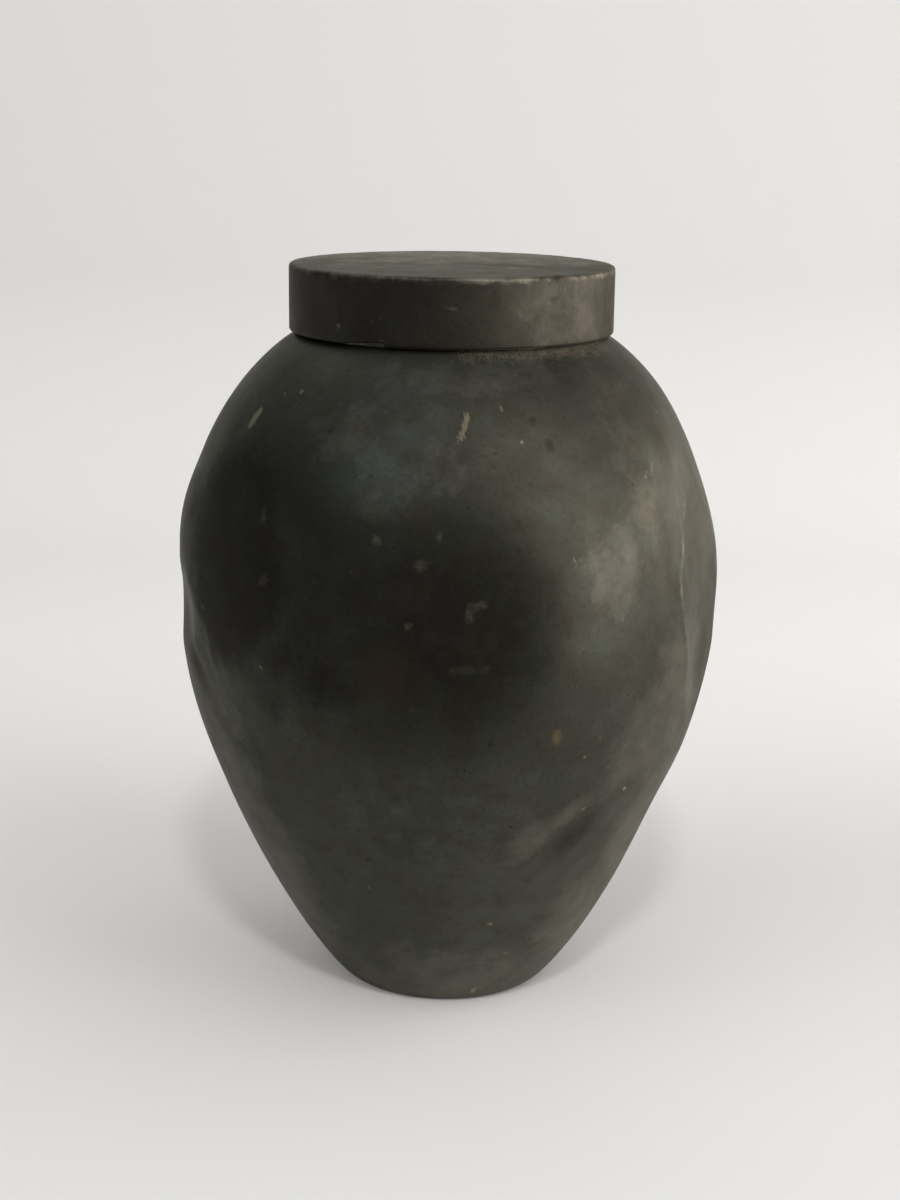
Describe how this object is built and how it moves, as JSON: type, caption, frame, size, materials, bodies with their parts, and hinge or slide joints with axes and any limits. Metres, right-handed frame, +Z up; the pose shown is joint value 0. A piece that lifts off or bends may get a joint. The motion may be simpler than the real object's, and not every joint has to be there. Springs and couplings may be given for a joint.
{
  "type": "tea caddy",
  "caption": "Ovoid tin tea jar with broad shoulders, a narrow foot, dented walls, a plug-fitting inner lid with a knob, and a flat cap lid that slides over a short neck.",
  "frame": {"origin": "on the jar's axis, in the plane that the foot rim stands on", "axes": "+Z up along the jar's axis, -Y towards the side that the picture shows, +X to its right"},
  "size_m": [0.1782, 0.1762, 0.24],
  "materials": {
    "patinated_tin": "cast and turned tin, dark satin patina",
    "lid_tin": "turned tin, dark satin patina, worn bright at the edge",
    "rubbed_tin": "turned tin, rubbed by the lids",
    "inner_lid_tin": "turned tin, kept grey under the cap"
  },
  "bodies": {
    "jar": {"jar_lower": "patinated_tin", "jar_upper": "patinated_tin", "base_plate": "patinated_tin", "neck_ring": "rubbed_tin"},
    "inner_lid": {"inner_lid_plate": "inner_lid_tin", "inner_lid_skirt": "inner_lid_tin", "inner_lid_knob": "inner_lid_tin"},
    "lid": {"lid_skirt": "lid_tin", "lid_top": "lid_tin"}
  },
  "joints": [
    {"name": "lid_lift", "type": "slide", "parent": "jar", "child": "lid", "axis": [0, 0, 1], "range_m": [0, 0.12]},
    {"name": "inner_lid_lift", "type": "slide", "parent": "jar", "child": "inner_lid", "axis": [0, 0, 1], "range_m": [0, 0.06]}
  ],
  "couplings": [
    {"joint": "inner_lid_lift", "follows": "lid_lift", "ratio": 0.5}
  ]
}
